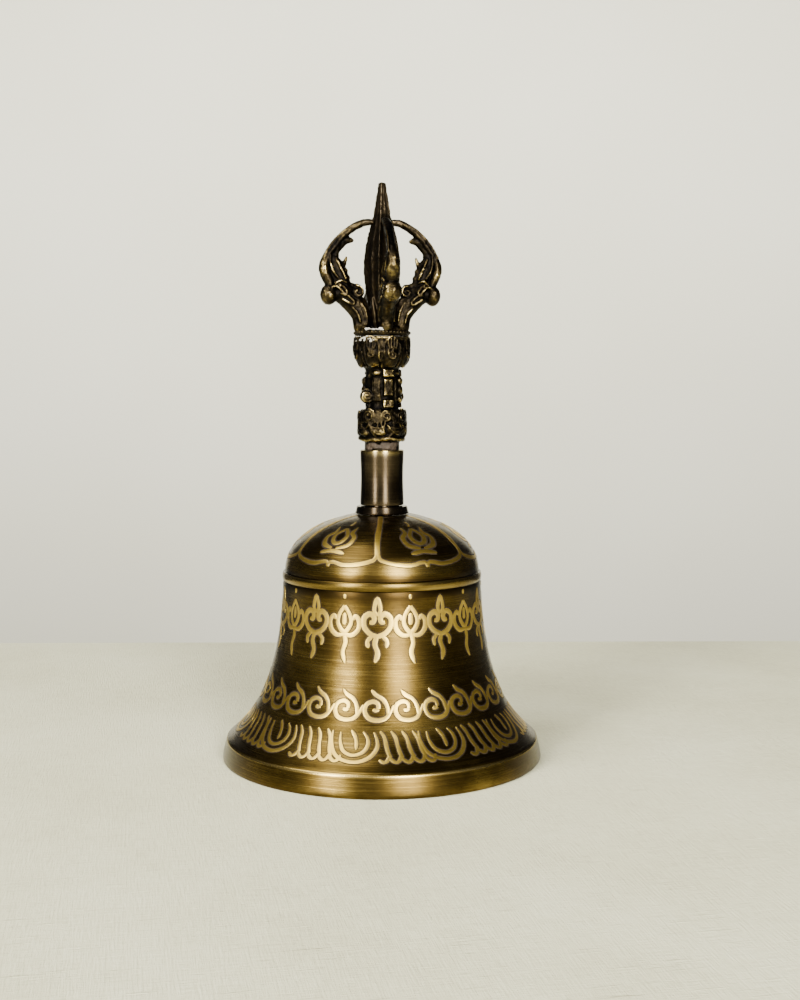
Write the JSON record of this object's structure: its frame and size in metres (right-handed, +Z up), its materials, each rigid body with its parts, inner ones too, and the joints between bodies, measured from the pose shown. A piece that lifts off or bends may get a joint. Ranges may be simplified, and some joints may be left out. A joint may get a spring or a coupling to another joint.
{
  "type": "tibetan hand bell",
  "caption": "Flared brass hand bell with engraved ornament, a domed crown, a turned neck and a cast half-vajra handle; an iron clapper hangs inside",
  "frame": {"origin": "centre of the bell's mouth, on the surface that the lip stands on", "axes": "+Z up the bell's axis to the point of the middle prong; the four outer prongs point along +X, +Y, -X and -Y; -Y is the front"},
  "size_m": [0.0904, 0.0904, 0.1638],
  "materials": {
    "antique_brass": "antiqued brass: dark brown ground, worn to gold on the raised ornament and the lip",
    "neck_brass": "turned brass, tarnished, with fine circular scratches",
    "dark_bronze": "cast bronze, nearly black in the hollows and polished gold on the high points",
    "grey_solder": "dull grey solder and filler",
    "plain_steel": "plain steel wire and turned steel",
    "clapper_iron": "forged iron, oiled"
  },
  "bodies": {
    "bell": {"bell_body": "antique_brass", "crown_collar": "neck_brass", "neck_sleeve": "neck_brass", "handle_casting": "dark_bronze", "beaded_ring": "dark_bronze", "prong_filler": "grey_solder", "centre_prong": "dark_bronze", "outer_prong_front": "dark_bronze", "outer_prong_right": "dark_bronze", "outer_prong_back": "dark_bronze", "outer_prong_left": "dark_bronze", "eye_bolt": "plain_steel", "crown_washer": "plain_steel", "crown_nut": "plain_steel"},
    "hanger": {"hanger_ring": "plain_steel"},
    "clapper": {"clapper_rod": "clapper_iron", "clapper_bob": "clapper_iron"}
  },
  "joints": [
    {"name": "ring_swing", "type": "hinge", "parent": "bell", "child": "hanger", "pos_m": [0, 0, 0.05271], "axis": [1, 0, 0], "range_deg": [-10, 10]},
    {"name": "clapper_swing", "type": "hinge", "parent": "hanger", "child": "clapper", "pos_m": [0, 0, 0.04701], "axis": [0, 1, 0], "range_deg": [-36, 36]}
  ]
}
